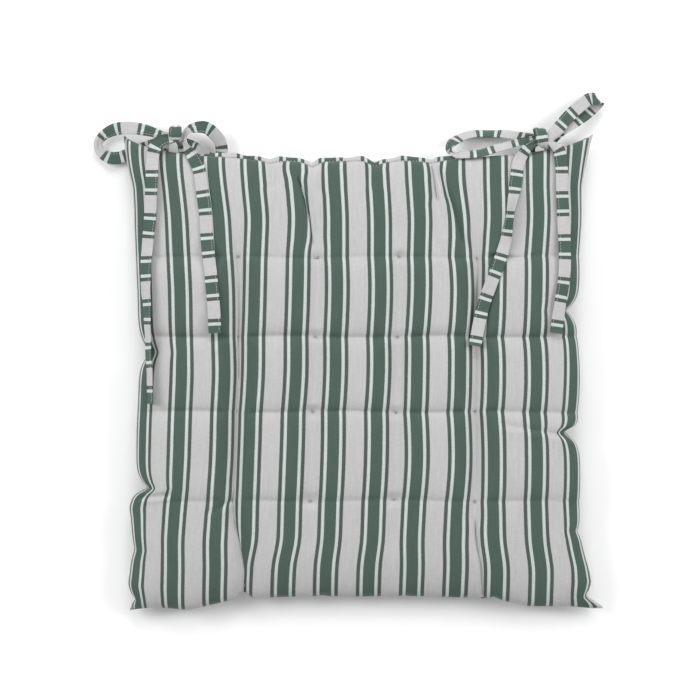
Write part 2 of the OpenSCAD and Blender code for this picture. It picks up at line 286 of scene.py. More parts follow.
def falling(share):
    """1 over most of the way from the middle, falling steeply to 0 at a share of 1."""
    return np.sqrt(np.clip(1 - np.abs(share) ** 6, 0, 1))


# How much lower the seam lies at the corners, how much higher along the back, and how far it waves
CORNER_DROP = 0.007
BACK_RISE = 0.006
SEAM_WAVE = 0.0016


def seam_height(u, v):
    """Height of the edge seam, lower at the corners and higher along the back."""
    a = np.abs(u) / CLOTH_HALF
    b = np.abs(v) / CLOTH_HALF
    corner = np.clip(a, 0, 1) ** 10 * np.clip(b, 0, 1) ** 10
    back = np.clip(v / CLOTH_HALF, 0, 1) ** 8 * (1 - a ** 8)
    wave = SEAM_WAVE * np.sin(u * 150 + 0.5) * b ** 6 + SEAM_WAVE * np.sin(v * 130 + 2) * a ** 6
    return SEAM_H - CORNER_DROP * corner + BACK_RISE * back + wave


def tuft_shape(u, v, reach):
    """1 at each tuft, falling to 0 around it."""
    best = np.zeros_like(u)
    for p in TUFT_LINES:
        for q in TUFT_LINES:
            best = np.maximum(best, np.exp(-((u - p) ** 2 + (v - q) ** 2) / reach ** 2))
    return best


def valley_depth(hidden):
    """How deep a valley is that hides so much cloth between its walls."""
    wall = VALLEY_HALF * 1.3
    return np.sqrt((wall + hidden / 2) ** 2 - wall ** 2)


# How far the lower cloth rises into each valley, as a share of the valley's depth from above
LOW_TUCK = 0.75


def cloth_heights(u, v):
    """Heights of the upper and lower cloth at the flat cloth's points."""
    crown = falling(u / CLOTH_HALF) * falling(v / CLOTH_HALF)
    seam = seam_height(u, v)
    top = seam + (CROWN_H - 0.001 - seam) * crown
    sunk = np.zeros_like(u)
    for line, amounts in HIDDEN.items():
        hidden = eased_table(v, amounts)
        away = u - valley_place(line, v)
        sunk = np.maximum(sunk, valley_depth(hidden) * bell(away, 0.010 + 0.35 * hidden))
    tucked = LOW_TUCK * sunk * crown
    sunk = np.maximum(sunk, np.interp(v, TUFT_LINES, ROW_DIPS) * (1 - between_rows(v)) ** 2)
    sunk = np.maximum(sunk, (CROWN_H - TUFT_TOP_H) * tuft_shape(u, v, 0.012))
    top = top - sunk * crown
    low = seam * np.clip(1 - 1.25 * crown, 0, None)
    low = np.maximum(low + tucked, TUFT_LOW_H * tuft_shape(u, v, 0.010))
    return top, low


# ---- cloth simulation

def flat_coordinates():
    """The flat cloth's points: across the stripes and along them."""
    line = (np.arange(GRID_N) - GRID_STEPS) * STEP
    return np.meshgrid(line, line, indexing="ij")


def hold_weights(u, v, top):
    """How firmly each point is held where it is: the seam and the tufts fully, the valleys in part."""
    edge = (np.abs(u) > CLOTH_HALF - STEP / 2) | (np.abs(v) > CLOTH_HALF - STEP / 2)
    held = np.zeros_like(u)
    for line, amounts in HIDDEN.items():
        hidden = eased_table(v, amounts)
        near = bell(u - valley_place(line, v), STEP * 0.6)
        held = np.maximum(held, near * np.clip(hidden / 0.010, 0, 1) * 0.8)
    for line in TUFT_LINES:
        held = np.maximum(held, 0.25 * bell(v - line, STEP * 0.6))
    if not top:
        held = np.maximum(held * 0.8, 0.05)
    held = np.maximum(held, bell(tuft_distance(u, v), STEP * 0.5))
    held[edge] = 1.0
    return held


def tuft_distance(u, v):
    """Distance on the flat cloth to the nearest tuft."""
    best = np.full_like(u, 1.0)
    for p in TUFT_LINES:
        for q in TUFT_LINES:
            best = np.minimum(best, np.hypot(u - p, v - q))
    return best


def fill_pad():
    """Cloth simulation of the two panels, sewn along their edges, held at the tufts and blown up."""
    u, v = flat_coordinates()
    x, y = cloth_plan(u, v)
    top_z, low_z = cloth_heights(u, v)
    n = GRID_N
    total = n * n
    inner = np.zeros((n, n), bool)
    inner[1:-1, 1:-1] = True
    low_index = np.arange(total).reshape(n, n)
    low_index[inner] = total + np.arange(int(inner.sum()))
    top_points = np.stack([x, y, top_z], -1).reshape(-1, 3)
    bulge = low_bulge(u, v)
    low_points = np.stack([x + bulge[0], y + bulge[1], low_z], -1)[inner]
    points = np.concatenate([top_points, low_points])
    flat_top = np.stack([u, v, np.full_like(u, 0.0)], -1).reshape(-1, 3)
    flat_low = np.stack([u, v, np.full_like(u, -0.0005)], -1)[inner]
    flat = np.concatenate([flat_top, flat_low])
    faces = grid_faces(n, n)
    for i in range(n - 1):
        for j in range(n - 1):
            faces.append((int(low_index[i, j]), int(low_index[i, j + 1]),
                          int(low_index[i + 1, j + 1]), int(low_index[i + 1, j])))
    weights = np.concatenate([hold_weights(u, v, True).ravel(), hold_weights(u, v, False)[inner]])
    result = run_cloth(points, flat, faces, weights)
    top = result[:total].reshape(n, n, 3)
    low = top.copy()
    low[inner] = result[total:]
    return u, v, top, low


def low_bulge(u, v):
    """The lower cloth starts a little beyond the seam."""
    bulge = 0.0015
    reach = 0.008
    out_x = CLOTH_HALF - np.abs(u)
    out_y = CLOTH_HALF - np.abs(v)
    rise_x = (out_x / reach) * np.exp(1 - out_x / reach)
    rise_y = (out_y / reach) * np.exp(1 - out_y / reach)
    dx = np.sign(u) * bulge * rise_x * falling(v / CLOTH_HALF)
    dy = np.sign(v) * bulge * rise_y * falling(u / CLOTH_HALF)
    return dx, dy


# The lower cloth is kept this far off the floor
LOW_FLOOR = 0.0006
# The two covers' stripes do not quite meet at the seam
LOW_OFFSET = 0.0032
# How the lower cloth runs from the seam along the back edge: out beyond it, then down and under
ROLL_OUT = np.array([0.0, 3.2, 4.1, 3.3, 1.1, -2.0, -5.5, -9.4]) * 0.001
ROLL_DOWN = np.array([0.0, 1.6, 5.5, 9.5, 13.0, 16.0, 18.6, 20.3]) * 0.001
# The height of the back seam that ROLL_DOWN is meant for
BACK_SEAM_H = 0.0245
ROLL_SHARE = [1.0, 1.0, 1.0, 1.0, 0.95, 0.8, 0.5, 0.2]


def roll_back_edge(u, low):
    """The back edge rolls up, so that the lower cloth shows beyond its seam."""
    line = u[:, -1]
    amount = 1 / (1 + np.exp((np.abs(line + 0.020) - 0.128) / 0.006))
    pucker = 1 + 0.16 * np.sin(line * 155 + 0.4) + 0.10 * np.sin(line * 331)
    seam = low[:, -1]
    for k in range(1, len(ROLL_OUT)):
        share = (amount * ROLL_SHARE[k])[:, None]
        down = ROLL_DOWN[k] * seam[:, 2] / BACK_SEAM_H
        goal = seam + np.stack([np.zeros_like(line), ROLL_OUT[k] * pucker, -down], -1)
        low[:, -1 - k] = low[:, -1 - k] * (1 - share) + goal * share
    return low


# Short sharp creases: from (u, v) to (u, v) on the flat cloth, cloth hidden, depth, half width
CREASES = [
    ((-0.0530, 0.1900), (-0.0425, 0.1180), 0.0042, 0.0038, 0.0026),
    ((0.0700, 0.2120), (0.0740, 0.1650), 0.0024, 0.0024, 0.0030),
    ((0.0830, 0.2000), (0.0990, 0.1150), 0.0034, 0.0030, 0.0036),
    ((0.1180, -0.2120), (0.1122, -0.1250), 0.0026, 0.0030, 0.0026),
    ((-0.1160, -0.1110), (-0.1400, -0.1290), 0.0024, 0.0016, 0.0040),
    ((-0.0300, 0.2120), (-0.0340, 0.1750), 0.0012, 0.0016, 0.0026),
    ((0.0140, 0.2120), (0.0100, 0.1800), 0.0012, 0.0018, 0.0026),
    ((-0.0750, 0.2120), (-0.0770, 0.1800), 0.0012, 0.0016, 0.0026),
    ((0.1300, 0.1150), (0.1600, 0.1080), 0.0010, 0.0014, 0.0025),
    ((0.2050, -0.0590), (0.1300, -0.0480), 0.0024, 0.0018, 0.0030),
    ((-0.1780, -0.1060), (-0.2100, -0.1080), 0.0012, 0.0030, 0.0030),
]
ROW_CREASE_DEPTHS = [0.0004, 0.0005, 0.0009, 0.0010]
ROW_CREASE_HALF = 0.0024


def add_creases(u, v, points):
    """Fine creases that the simulation's grid is too coarse for."""
    made = points.copy()
    inside = falling(u / CLOTH_HALF) * falling(v / CLOTH_HALF)
    for number, line in enumerate(TUFT_LINES):
        away = v - line
        strength = 0.75 + 0.25 * np.sin(u * 61 + number * 1.9)
        sharp = np.exp(-np.abs(away) / ROW_CREASE_HALF)
        made[..., 2] -= ROW_CREASE_DEPTHS[number] * strength * inside * sharp
        made[..., 1] += 0.0007 * np.sin(u * 43 + 2.2 * number) * bell(away, 0.012)
    for start, end, hidden, depth, half in CREASES:
        start, end = np.array(start), np.array(end)
        way = end - start
        length = np.hypot(*way)
        way = way / length
        along = ((u - start[0]) * way[0] + (v - start[1]) * way[1]) / length
        away = (u - start[0]) * way[1] - (v - start[1]) * way[0]
        fade = np.clip(4 * (1 - along), 0, 1) * np.clip(4 * along + 1, 0, 1)
        fade = fade * fade * (3 - 2 * fade)
        draw = -0.5 * hidden * fade * np.tanh(away / half) * bell(away, 0.016)
        made[..., 0] += draw * way[1]
        made[..., 1] -= draw * way[0]
        made[..., 2] += depth * fade * (0.45 * bell(away + 1.5 * half, half) - bell(away, half))
    return made


# The filling's push in the cloth simulation, and how many frames it runs
PRESSURE = 1.2
SIM_FRAMES = 24


def run_cloth(points, flat, faces, weights):
    """The points of the filled pad, from its points before filling and the flat cloth's points."""
    obj = new_object("pad_simulation", points, faces)
    obj.shape_key_add(name="filled")
    cut = obj.shape_key_add(name="cut")
    cut.data.foreach_set("co", flat.astype(np.float32).ravel())
    cut.value = 0.0
    group = obj.vertex_groups.new(name="held")
    rounded = np.round(weights, 2)
    for level in np.unique(rounded):
        if level > 0:
            group.add([int(k) for k in np.nonzero(rounded == level)[0]], float(level), "REPLACE")
    cloth = obj.modifiers.new("filling", "CLOTH")
    rules = cloth.settings
    rules.quality = 7
    rules.mass = 0.15
    rules.tension_stiffness = 25
    rules.compression_stiffness = 25
    rules.shear_stiffness = 8
    rules.bending_stiffness = 0.4
    rules.tension_damping = 15
    rules.compression_damping = 15
    rules.shear_damping = 10
    rules.bending_damping = 0.8
    rules.air_damping = 4
    rules.use_pressure = True
    rules.uniform_pressure_force = PRESSURE
    rules.vertex_group_mass = "held"
    rules.pin_stiffness = 3
    rules.rest_shape_key = cut
    rules.effector_weights.gravity = 0
    cloth.collision_settings.use_collision = False
    cloth.collision_settings.use_self_collision = False
    cloth.point_cache.frame_start = 1
    cloth.point_cache.frame_end = SIM_FRAMES
    scene = bpy.context.scene
    for number in range(1, SIM_FRAMES + 1):
        scene.frame_set(number)
    depsgraph = bpy.context.evaluated_depsgraph_get()
    shaped = obj.evaluated_get(depsgraph).to_mesh()
    result = np.zeros(len(shaped.vertices) * 3, np.float32)
    shaped.vertices.foreach_get("co", result)
    obj.evaluated_get(depsgraph).to_mesh_clear()
    scene.frame_set(1)
    bpy.data.objects.remove(obj)
    return result.reshape(-1, 3).astype(float)


# ---- covers and filling

def finer(grid):
    """Twice as many points each way, on a smooth surface through the given ones."""
    for axis in (0, 1):
        g = np.moveaxis(grid, axis, 0)
        before = np.concatenate([2 * g[:1] - g[1:2], g[:-2]])
        after = np.concatenate([g[2:], 2 * g[-1:] - g[-2:-1]])
        middle = (9 * (g[:-1] + g[1:]) - before - after) / 16
        made = np.empty((2 * len(g) - 1,) + g.shape[1:])
        made[0::2] = g
        made[1::2] = middle
        grid = np.moveaxis(made, 0, axis)
    return grid


def make_cover(name, grid, coords, flip):
    """One cover, with its cloth map and its thickness."""
    n, m = grid.shape[:2]
    obj = new_object(name, grid.reshape(-1, 3), grid_faces(n, m, flip=flip))
    add_cloth_map(obj, coords.reshape(-1, 2))
    shell = obj.modifiers.new("cloth thickness", "SOLIDIFY")
    shell.thickness = CLOTH_T
    shell.offset = -1
    return obj


class Nodes:
    """Short-hand for building a material's node tree."""

    def __init__(self, name):
        self.material = bpy.data.materials.new(name)
        self.material.use_nodes = True
        self.tree = self.material.node_tree
        self.shader = self.tree.nodes["Principled BSDF"]

    def node(self, kind, **settings):
        made = self.tree.nodes.new(kind)
        for key, value in settings.items():
            setattr(made, key, value)
        return made

    def link(self, source, target):
        self.tree.links.new(source, target)

    def feed(self, socket, value):
        if hasattr(value, "is_linked"):
            self.link(value, socket)
        else:
            socket.default_value = value

    def math(self, operation, a, b=0.0, c=0.0):
        made = self.node("ShaderNodeMath", operation=operation)
        for k, value in enumerate((a, b, c)):
            self.feed(made.inputs[k], value)
        return made.outputs[0]

    def mix(self, share, a, b, blend="MIX"):
        made = self.node("ShaderNodeMix", data_type="RGBA", blend_type=blend)
        self.feed(made.inputs["Factor"], share)
        self.feed(made.inputs[6], a)
        self.feed(made.inputs[7], b)
        return made.outputs[2]

    def stretched(self, vector, scale):
        made = self.node("ShaderNodeMapping")
        self.link(vector, made.inputs["Vector"])
        made.inputs["Scale"].default_value = scale
        return made.outputs[0]

    def paint(self, colour, tone):
        """Base colour, made lighter or darker by a tone."""
        shade = self.node("ShaderNodeCombineColor")
        for k in range(3):
            self.link(tone, shade.inputs[k])
        self.link(self.mix(1.0, colour, shade.outputs[0], "MULTIPLY"), self.shader.inputs["Base Color"])

    def bump(self, height, strength, distance):
        made = self.node("ShaderNodeBump")
        made.inputs["Strength"].default_value = strength
        made.inputs["Distance"].default_value = distance
        self.link(height, made.inputs["Height"])
        self.link(made.outputs[0], self.shader.inputs["Normal"])

    def noise(self, vector, scale, detail=2.0, roughness=0.5):
        made = self.node("ShaderNodeTexNoise")
        self.link(vector, made.inputs["Vector"])
        made.inputs["Scale"].default_value = scale
        made.inputs["Detail"].default_value = detail
        made.inputs["Roughness"].default_value = roughness
        return made.outputs["Fac"]


def srgb(red, green, blue):
    """A colour given by its screen values from 0 to 255."""
    def linear(c):
        c = c / 255
        return c / 12.92 if c <= 0.04045 else ((c + 0.055) / 1.055) ** 2.4
    return (linear(red), linear(green), linear(blue), 1.0)


PALE = srgb(179, 178, 179)
GAP = srgb(184, 192, 188)
WIDE_GREEN = srgb(71, 88, 81)
THIN_GREEN = srgb(74, 83, 78)
# The pattern over half a repeat, from the middle of a pale band to the middle of a wide green stripe
STRIPE_STOPS = [(0.0, PALE), (0.408, PALE), (0.420, THIN_GREEN), (0.577, THIN_GREEN), (0.589, GAP),
                (0.722, GAP), (0.734, WIDE_GREEN), (1.0, WIDE_GREEN)]
THREAD_PITCH = 0.00045


def striped_cloth(name):
    """Woven cotton: stripes of several widths across the cloth map's first coordinate."""
    n = Nodes(name)
    cloth = n.node("ShaderNodeUVMap", uv_map="cloth").outputs["UV"]
    split = n.node("ShaderNodeSeparateXYZ")
    n.link(cloth, split.inputs[0])
    across, along = split.outputs[0], split.outputs[1]
    wander = n.noise(cloth, 900, 1.0)
    shifted = n.math("ADD", across, n.math("MULTIPLY", n.math("SUBTRACT", wander, 0.5), 0.0004))
    place = n.math("DIVIDE", n.math("PINGPONG", shifted, STRIPE_PERIOD / 2), STRIPE_PERIOD / 2)
    ramp = n.node("ShaderNodeValToRGB")
    ramp.color_ramp.interpolation = "LINEAR"
    marks = ramp.color_ramp.elements
    while len(marks) < len(STRIPE_STOPS):
        marks.new(0.5)
    for mark, (where, colour) in zip(marks, STRIPE_STOPS):
        mark.position = where
    for mark, (where, colour) in zip(marks, STRIPE_STOPS):
        mark.color = colour
    n.link(place, ramp.inputs["Fac"])
    lengthwise = n.stretched(cloth, (1.0, 0.08, 1.0))
    crosswise = n.stretched(cloth, (0.08, 1.0, 1.0))
    yarn = n.noise(lengthwise, 1800)
    pick = n.noise(crosswise, 1800)
    streak = n.noise(lengthwise, 450, 1.0)
    fine = n.math("MULTIPLY", n.math("ADD", yarn, pick), 0.22)
    tone = n.math("ADD", n.math("ADD", fine, n.math("MULTIPLY", streak, 0.16)), 0.70)
    n.paint(ramp.outputs["Color"], tone)
    turn = math.pi / THREAD_PITCH
    weave = n.math("MULTIPLY", n.math("SINE", n.math("MULTIPLY", across, turn)),
                   n.math("SINE", n.math("MULTIPLY", along, turn)))
    slubs = n.math("MULTIPLY", n.math("ADD", yarn, pick), 0.00008)
    n.bump(n.math("ADD", n.math("MULTIPLY", weave, 0.00004), slubs), 0.5, 1.0)
    n.shader.inputs["Roughness"].default_value = 0.88
    n.shader.inputs["Sheen Weight"].default_value = 0.12
    n.shader.inputs["Sheen Roughness"].default_value = 0.5
    n.shader.inputs["Specular IOR Level"].default_value = 0.2
    return n.material


def floor_material():
    n = Nodes("studio_floor")
    n.shader.inputs["Base Color"].default_value = (0.93, 0.93, 0.93, 1)
    n.shader.inputs["Roughness"].default_value = 0.9
    n.shader.inputs["Specular IOR Level"].default_value = 0.1
    return n.material


def make_floor():
    half = 6
    corners = [(-half, -half, 0), (half, -half, 0), (half, half, 0), (-half, half, 0)]
    obj = new_object("floor", corners, [(0, 1, 2, 3)], smooth=False)
    obj.data.materials.append(floor_material())


def thread_material(name, colour):
    """Twisted sewing thread: fine slanting strands with a slight shine."""
    n = Nodes(name)
    place = n.node("ShaderNodeTexCoord").outputs["Object"]
    strands = n.node("ShaderNodeTexWave", wave_type="BANDS", bands_direction="DIAGONAL")
    strands.inputs["Scale"].default_value = 900
    strands.inputs["Distortion"].default_value = 2.0
    n.link(place, strands.inputs["Vector"])
    n.paint(colour, n.math("ADD", n.math("MULTIPLY", strands.outputs["Fac"], 0.25), 0.78))
    n.bump(strands.outputs["Fac"], 0.4, 0.0001)
    n.shader.inputs["Roughness"].default_value = 0.6
    n.shader.inputs["Sheen Weight"].default_value = 0.2
    return n.material


def fibre_material():
    """Loose polyester fibre: fine tangled hairs, nearly white."""
    n = Nodes("fibre_fill")
    place = n.node("ShaderNodeTexCoord").outputs["Object"]
    hairs = n.noise(place, 1400, 6.0, 0.8)
    clumps = n.noise(place, 60, 3.0)
    tangle = n.math("ADD", hairs, clumps)
    n.paint(srgb(250, 249, 246), n.math("ADD", n.math("MULTIPLY", tangle, 0.12), 0.76))
    n.bump(tangle, 0.8, 0.002)
    n.shader.inputs["Roughness"].default_value = 0.95
    n.shader.inputs["Sheen Weight"].default_value = 0.4
    return n.material


def unit(vectors):
    return vectors / np.maximum(np.linalg.norm(vectors, axis=-1, keepdims=True), 1e-12)


def grid_normals(grid):
    """Upward unit normals of a grid of points."""
    along = np.gradient(grid, axis=0)
    across = np.gradient(grid, axis=1)
    return unit(np.cross(along, across))


def make_filling(top, low, material):
    """The fibre body, a little inside both covers."""
    inset = 2
    gap = 0.0016
    keep = slice(inset, -inset)
    above = (top - grid_normals(top) * gap)[keep, keep]
    below = (low + grid_normals(low) * gap)[keep, keep]
    least = 0.0006
    thin = np.minimum(above[..., 2] - below[..., 2], least) - least
    above[..., 2] -= thin / 2
    below[..., 2] += thin / 2
    n = above.shape[0]
    faces = grid_faces(n, n) + grid_faces(n, n, start=n * n, flip=True)
    ring = [i * n for i in range(n)] + [(n - 1) * n + j for j in range(1, n)]
    ring += [i * n + n - 1 for i in range(n - 2, -1, -1)] + [j for j in range(n - 2, 0, -1)]
    for a, b in zip(ring, ring[1:] + ring[:1]):
        faces.append((b, a, a + n * n, b + n * n))
    points = np.concatenate([above.reshape(-1, 3), below.reshape(-1, 3)])
    obj = new_object("fibre_filling", points, faces)
    obj.data.materials.append(material)
    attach(obj, "root")
    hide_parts("filling")


# ---- threads

class Threads:
    """Collects round lengths of thread into one mesh."""

    def __init__(self):
        self.points = []
        self.faces = []

    def add(self, line, radius, sides=6, taper=True):
        """A round length along a line, closed at both ends."""
        line = np.asarray(line, float)
        along = unit(np.gradient(line, axis=0))
        side = unit(np.cross(along, [0.31, 0.17, 0.93]))
        other = np.cross(along, side)
        count = len(line)
        start = len(self.points)
        for k in range(count):
            size = radius
            if taper and k in (0, count - 1):
                size = radius * 0.55
            for q in range(sides):
                turn = 2 * math.pi * q / sides
                out = math.cos(turn) * side[k] + math.sin(turn) * other[k]
                self.points.append(line[k] + size * out)
        for k in range(count - 1):
            for q in range(sides):
                a = start + k * sides + q
                b = start + k * sides + (q + 1) % sides
                self.faces.append((a, b, b + sides, a + sides))
        self.faces.append(tuple(start + q for q in range(sides - 1, -1, -1)))
        self.faces.append(tuple(start + (count - 1) * sides + q for q in range(sides)))

    def finish(self, name, material, nodes=()):
        obj = new_object(name, self.points, self.faces)
        obj.data.materials.append(material)
        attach(obj, "root")
        if nodes:
            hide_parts(*nodes)
        return obj


def arc(start, end, lift, count=5):
    """A short stitch from start to end that rises by lift in its middle."""
    share = np.linspace(0, 1, count)[:, None]
    line = np.asarray(start) * (1 - share) + np.asarray(end) * share
    return line + np.asarray(lift) * 4 * share * (1 - share)


def make_tuft(row, column, above, below, material, chance):
    """A tack through the pad: two crossed stitches on each face, and two cut ends on top."""
    threads = Threads()
    radius = 0.00032
    inside = (0, 0, 0.0004)
    threads.add([below + inside, (above + below) / 2, above - inside], 0.0006, taper=False)
    turn = chance.uniform(0, math.pi)
    for face, up in ((above, 1.0), (below, -1.0)):
        for k in range(2):
            way = np.array([math.cos(turn + k * 1.3), math.sin(turn + k * 1.3), 0.0]) * 0.0012
            middle = face + (0, 0, up * 0.0002)
            lift = (0, 0, up * (0.0004 + 0.0004 * k))
            threads.add(arc(middle - way, middle + way, lift, 7), radius)
    for k in range(2):
        way = np.array([math.cos(turn + 2.1 * k + 0.6), math.sin(turn + 2.1 * k + 0.6), 0.0])
        length = chance.uniform(0.0016, 0.0030)
        tip = above + way * length + (0, 0, 0.0012)
        threads.add(arc(above + (0, 0, 0.0009), tip, (0, 0, 0.0010), 6), radius * 0.7)
    name = f"tuft_{row}_{column}"
    threads.finish(name, material, [f"tuft_thread_{row}_{column}"])


def path_lengths(line):
    """Length along a line up to each of its points."""
    return np.concatenate([[0], np.cumsum(np.linalg.norm(np.diff(line, axis=0), axis=1))])


def rim_line(top):
    """The seam's points in order round the pad, from the front left corner."""
    return np.concatenate([top[:-1, 0], top[-1, :-1], top[:0:-1, -1], top[0, :0:-1]])


def spaced(line, pitch):
    """Points at an even pitch along a line that closes on itself."""
    points = np.concatenate([line, line[:1]])
    lengths = path_lengths(points)
    count = int(lengths[-1] / pitch)
    where = np.linspace(0, lengths[-1], count, endpoint=False)
    return np.stack([np.interp(where, lengths, points[:, k]) for k in range(3)], -1)


def make_seams(top, material):
    """Machine stitches along the edge, and hand stitches where the back edge was closed last."""
    closing_half = 0.075
    tie_low, tie_high = 0.142, 0.177
    machine = Threads()
    hand = Threads()
    dots = spaced(rim_line(top), 0.0030)
    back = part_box("closing_seam")[0][1] - 0.004
    for a, b in zip(dots, np.roll(dots, -1, axis=0)):
        middle = (a + b) / 2
        at_back = middle[1] > back - 0.006
        if at_back and tie_low < abs(middle[0]) < tie_high:
            continue
        way = unit(b - a)
        if at_back and abs(middle[0]) < closing_half:
            out = np.array([0.0, 0.0006, 0.0])
            lift = np.array([0.0, 0.0, 0.0011])
            reach = way * 0.0007 + lift
            hand.add(arc(middle - reach - out * 0.4, middle + reach - out * 0.4, out), 0.00025)
        else:
            middle = middle - 0.0004 * unit(middle * (1, 1, 0))
            reach = way * 0.00105
            machine.add(arc(middle - reach, middle + reach, (0, 0, 0.0001), 4), 0.00022)
    machine.finish("edge_stitches", material, ["edge_seam"])
    hand.finish("closing_stitches", material, ["closing_seam"])


# ---- ties

TIE_W = 0.011
TIE_T = 0.001
